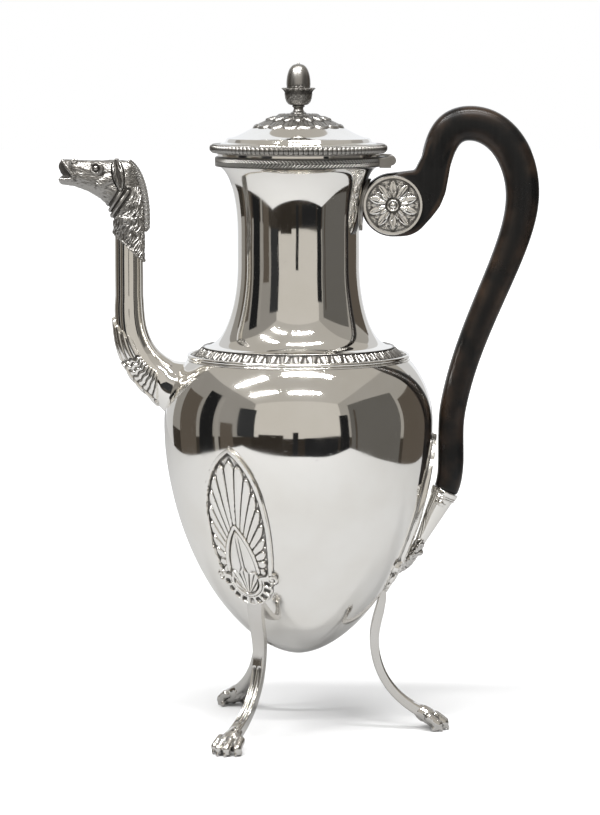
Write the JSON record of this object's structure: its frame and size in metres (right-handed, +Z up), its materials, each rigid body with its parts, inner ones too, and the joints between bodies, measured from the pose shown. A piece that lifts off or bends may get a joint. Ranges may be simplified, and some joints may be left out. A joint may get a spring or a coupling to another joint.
{
  "type": "silver coffee pot",
  "caption": "Egg-shaped coffee pot on paw-footed legs, with a horse's-head spout, a scrolled dark wooden handle and a hinged domed lid with an acorn finial.",
  "frame": {"origin": "on the table, under the axis of the pot", "axes": "+Z up, spout towards -X, handle towards +X"},
  "size_m": [0.2215, 0.1254, 0.3107],
  "materials": {
    "silver": "polished",
    "ebonised_wood": "satin"
  },
  "bodies": {
    "pot": {"bowl": "silver", "neck": "silver", "shoulder_wire": "silver", "shoulder_band": "silver", "rim_band": "silver", "spout_tube": "silver", "spout_leaf": "silver", "horse_head": "silver", "mane": "silver", "palmette_handle": "silver", "palmette_front": "silver", "palmette_rear": "silver", "leg_handle": "silver", "leg_front": "silver", "leg_rear": "silver", "paw_handle": "silver", "paw_front": "silver", "paw_rear": "silver", "neck_mount": "silver", "rosette_front": "silver", "rosette_rear": "silver", "rosette_pin": "silver", "ferrule": "silver", "ferrule_collar": "silver", "ferrule_pin": "silver", "lower_bracket": "silver", "hinge_pot_leaf": "silver", "hinge_pin": "silver", "handle_grip": "ebonised_wood"},
    "lid": {"hinge_lid_leaf": "silver", "lid_dome": "silver", "lid_border": "silver", "lid_bezel": "silver", "calyx": "silver", "acorn_cup": "silver", "acorn": "silver", "finial_washer": "silver", "finial_nut": "silver"}
  },
  "joints": [
    {"name": "lid_hinge", "type": "hinge", "parent": "pot", "child": "lid", "pos_m": [0.04225, 0, 0.266], "axis": [0, 1, 0], "range_deg": [0, 96]}
  ]
}
